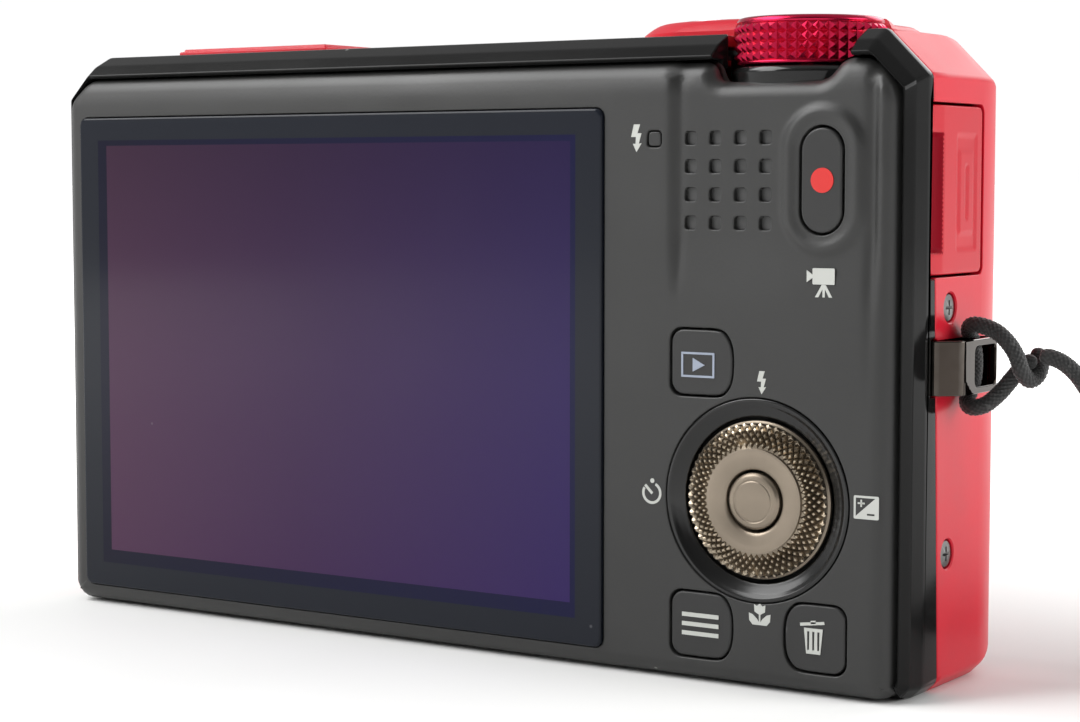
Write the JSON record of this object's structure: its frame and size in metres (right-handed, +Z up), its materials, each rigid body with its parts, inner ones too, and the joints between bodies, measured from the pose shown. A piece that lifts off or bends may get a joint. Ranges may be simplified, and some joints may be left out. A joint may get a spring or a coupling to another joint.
{
  "type": "compact digital camera",
  "caption": "Flat compact digital camera with rear display, telescoping zoom lens, pop-up flash, mode dial, rotary selector, connector and battery doors, tripod socket and wrist strap.",
  "frame": {"origin": "middle of the tripod socket's mouth, in the plane of the base, half way along the body's width and thickness", "axes": "+Z up, +Y out of the lens, -Y out of the display, +X towards the end with the mode dial, connector door and strap lug"},
  "size_m": [0.1272, 0.067, 0.0641],
  "materials": {
    "red_paint": "satin red paint on pressed aluminium",
    "red_anodised": "red anodised, knurled",
    "red_plastic": "satin red plastic",
    "black_gloss": "gloss black",
    "black_matte": "fine grained matte black",
    "black_rubber": "matte rubber",
    "frame_metal": "zinc plated sheet",
    "glass_dark": "coated clear panel with a dark printed border",
    "lcd": "display, off",
    "lens_glass": "coated optical glass",
    "barrel_black": "fine matte black",
    "blade_black": "matte black blade",
    "board": "green solder mask",
    "sensor": "iridescent silicon under glass",
    "champagne": "spun and knurled champagne metal",
    "nickel": "nickel plate",
    "satin_metal": "satin metal",
    "clear_plastic": "ribbed clear plastic",
    "reflector": "bright reflector",
    "lamp_amber": "amber lens",
    "capacitor_sleeve": "shrink sleeve",
    "battery_case": "dark grey cell case",
    "card_blue": "blue card case",
    "screw_steel": "dark plated steel",
    "cord": "braided black cord"
  },
  "bodies": {
    "camera_body": {"front_shell": "red_paint", "mid_band": "black_gloss", "rear_cover": "black_matte", "chassis": "frame_metal", "front_grip": "black_rubber", "display_glass": "glass_dark", "display_panel": "lcd", "main_board": "board", "lens_housing": "barrel_black", "lens_bezel": "black_gloss", "rear_lens": "lens_glass", "image_sensor": "sensor", "flash_capacitor": "capacitor_sleeve", "dial_base": "black_gloss", "selector_ring": "black_gloss", "control_board": "board", "speaker": "frame_metal", "ready_lamp": "lamp_amber", "focus_lamp": "lamp_amber", "hdmi_port": "nickel", "usb_port": "nickel", "battery_bay": "black_matte", "battery": "battery_case", "memory_card": "card_blue", "door_pin": "screw_steel", "tripod_socket": "satin_metal", "screws": "screw_steel", "strap_lug": "nickel", "strap_hitch": "cord", "strap_cord": "cord", "strap_slider": "black_rubber", "strap_turns": "cord"},
    "outer_barrel": {"outer_barrel": "barrel_black"},
    "middle_barrel": {"middle_barrel": "barrel_black"},
    "inner_barrel": {"inner_barrel": "barrel_black", "front_ring": "barrel_black", "front_lens": "lens_glass", "zoom_lens": "lens_glass"},
    "blade_top_near": {"blade_top_near": "blade_black"},
    "blade_top_far": {"blade_top_far": "blade_black"},
    "blade_low_near": {"blade_low_near": "blade_black"},
    "blade_low_far": {"blade_low_far": "blade_black"},
    "flash": {"flash_head": "black_matte", "flash_cover": "red_paint", "flash_window": "clear_plastic", "flash_reflector": "reflector"},
    "mode_dial": {"mode_dial": "red_anodised"},
    "zoom_lever": {"zoom_lever": "satin_metal"},
    "shutter_button": {"shutter_button": "satin_metal"},
    "power_button": {"power_button": "satin_metal"},
    "movie_button": {"movie_button": "black_matte"},
    "play_button": {"play_button": "black_matte"},
    "menu_button": {"menu_button": "black_matte"},
    "delete_button": {"delete_button": "black_matte"},
    "selector_wheel": {"selector_wheel": "champagne"},
    "centre_button": {"centre_button": "champagne"},
    "connector_door": {"connector_door": "red_plastic"},
    "usb_cover": {"usb_cover": "black_rubber"},
    "battery_door": {"battery_door": "red_plastic"},
    "door_latch": {"door_latch": "black_matte"}
  },
  "joints": [
    {"name": "battery_door_hinge", "type": "hinge", "parent": "camera_body", "child": "battery_door", "pos_m": [0.0489, 0, 0.0008], "axis": [0, -1, 0], "range_deg": [0, 95]},
    {"name": "blade_low_far_slide", "type": "slide", "parent": "inner_barrel", "child": "blade_low_far", "axis": [0, 0, -1], "range_m": [0, 0.0053]},
    {"name": "blade_low_near_slide", "type": "slide", "parent": "inner_barrel", "child": "blade_low_near", "axis": [0, 0, -1], "range_m": [0, 0.0102]},
    {"name": "blade_top_far_slide", "type": "slide", "parent": "inner_barrel", "child": "blade_top_far", "axis": [0, 0, 1], "range_m": [0, 0.0053]},
    {"name": "blade_top_near_slide", "type": "slide", "parent": "inner_barrel", "child": "blade_top_near", "axis": [0, 0, 1], "range_m": [0, 0.0102]},
    {"name": "centre_press", "type": "slide", "parent": "camera_body", "child": "centre_button", "axis": [0, 1, 0], "range_m": [0, 0.00035], "stiffness_N_per_m": 800},
    {"name": "connector_door_hinge", "type": "hinge", "parent": "camera_body", "child": "connector_door", "pos_m": [0.05207, 0.0041, 0.0469], "axis": [0, 0, 1], "range_deg": [0, 100]},
    {"name": "delete_press", "type": "slide", "parent": "camera_body", "child": "delete_button", "axis": [0, 1, 0], "range_m": [0, 0.00035], "stiffness_N_per_m": 800},
    {"name": "dial_turn", "type": "hinge", "parent": "camera_body", "child": "mode_dial", "pos_m": [0.0381, -0.0037, 0.061], "axis": [0, 0, 1], "continuous": true},
    {"name": "door_latch_slide", "type": "slide", "parent": "battery_door", "child": "door_latch", "axis": [1, 0, 0], "range_m": [0, 0.0026]},
    {"name": "flash_rise", "type": "slide", "parent": "camera_body", "child": "flash", "axis": [0, 0, 1], "range_m": [0, 0.0118]},
    {"name": "lens_extend_1", "type": "slide", "parent": "camera_body", "child": "outer_barrel", "axis": [0, 1, 0], "range_m": [0, 0.019]},
    {"name": "lens_extend_2", "type": "slide", "parent": "outer_barrel", "child": "middle_barrel", "axis": [0, 1, 0], "range_m": [0, 0.017]},
    {"name": "lens_extend_3", "type": "slide", "parent": "middle_barrel", "child": "inner_barrel", "axis": [0, 1, 0], "range_m": [0, 0.014]},
    {"name": "menu_press", "type": "slide", "parent": "camera_body", "child": "menu_button", "axis": [0, 1, 0], "range_m": [0, 0.00035], "stiffness_N_per_m": 800},
    {"name": "movie_press", "type": "slide", "parent": "camera_body", "child": "movie_button", "axis": [0, 1, 0], "range_m": [0, 0.00035], "stiffness_N_per_m": 800},
    {"name": "play_press", "type": "slide", "parent": "camera_body", "child": "play_button", "axis": [0, 1, 0], "range_m": [0, 0.00035], "stiffness_N_per_m": 800},
    {"name": "power_press", "type": "slide", "parent": "camera_body", "child": "power_button", "axis": [0, 0, -1], "range_m": [0, 0.0004], "stiffness_N_per_m": 800},
    {"name": "selector_turn", "type": "hinge", "parent": "camera_body", "child": "selector_wheel", "pos_m": [0.0372, -0.0122, 0.018], "axis": [0, 1, 0], "continuous": true},
    {"name": "shutter_press", "type": "slide", "parent": "camera_body", "child": "shutter_button", "axis": [0, 0, -1], "range_m": [0, 0.0005], "stiffness_N_per_m": 900},
    {"name": "usb_cover_hinge", "type": "hinge", "parent": "camera_body", "child": "usb_cover", "pos_m": [-0.02985, 0.0005, 0.00052], "axis": [0, -1, 0], "range_deg": [0, 100]},
    {"name": "zoom_lever_turn", "type": "hinge", "parent": "camera_body", "child": "zoom_lever", "pos_m": [0.026, 0.0053, 0.0636], "axis": [0, 0, 1], "range_deg": [-20, 20], "stiffness_Nm_per_rad": 0.02}
  ],
  "couplings": [
    {"joint": "lens_extend_2", "follows": "lens_extend_1", "ratio": 0.89474},
    {"joint": "lens_extend_3", "follows": "lens_extend_1", "ratio": 0.73684},
    {"joint": "blade_top_far_slide", "follows": "blade_top_near_slide", "ratio": 0.51961},
    {"joint": "blade_low_near_slide", "follows": "blade_top_near_slide", "ratio": 1},
    {"joint": "blade_low_far_slide", "follows": "blade_top_near_slide", "ratio": 0.51961}
  ]
}
